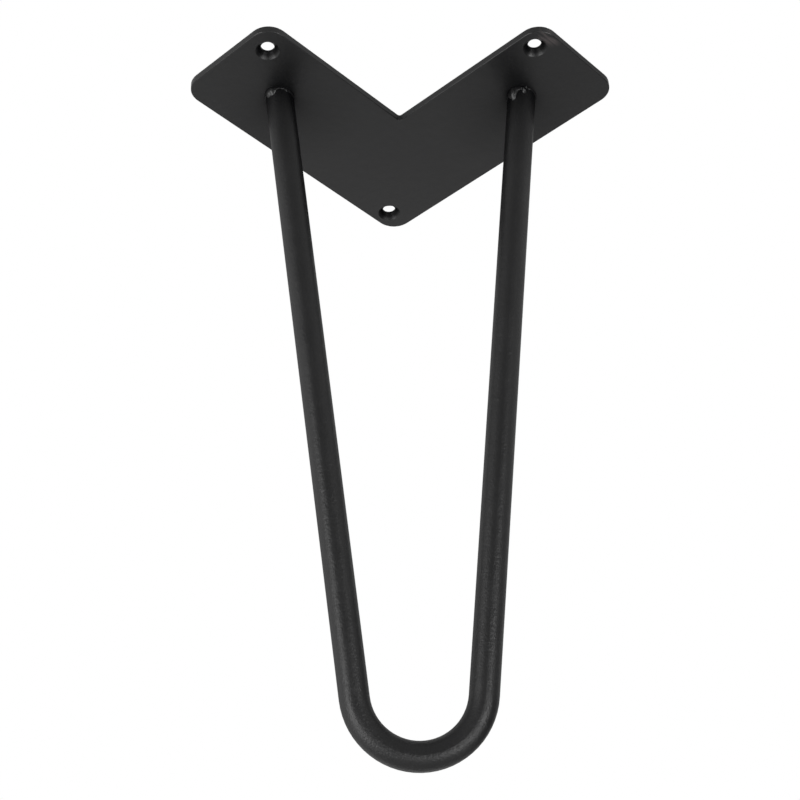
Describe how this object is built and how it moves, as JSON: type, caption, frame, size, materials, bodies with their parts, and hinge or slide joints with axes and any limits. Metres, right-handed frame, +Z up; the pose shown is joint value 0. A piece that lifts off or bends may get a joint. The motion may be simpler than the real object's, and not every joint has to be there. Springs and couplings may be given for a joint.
{
  "type": "hairpin table leg",
  "caption": "Short black hairpin furniture leg: a round bar bent to a U, welded at a slant under a right-angled chevron plate with countersunk screw holes.",
  "frame": {"origin": "on the plate's top face, where the centrelines of its two arms cross", "axes": "+Z up out of the plate's top face, +Y to the plate's outer corner, X across the two arms"},
  "size_m": [0.163, 0.1165, 0.25],
  "materials": {
    "plate_coat": "satin black powder coat on sheet steel",
    "bar_coat": "satin black powder coat with a fine grain on round bar",
    "bead_coat": "satin black powder coat over a weld bead"
  },
  "bodies": {
    "root": {"mounting_plate": "plate_coat", "hairpin_rod": "bar_coat", "left_weld_bead": "bead_coat", "right_weld_bead": "bead_coat"}
  },
  "joints": []
}
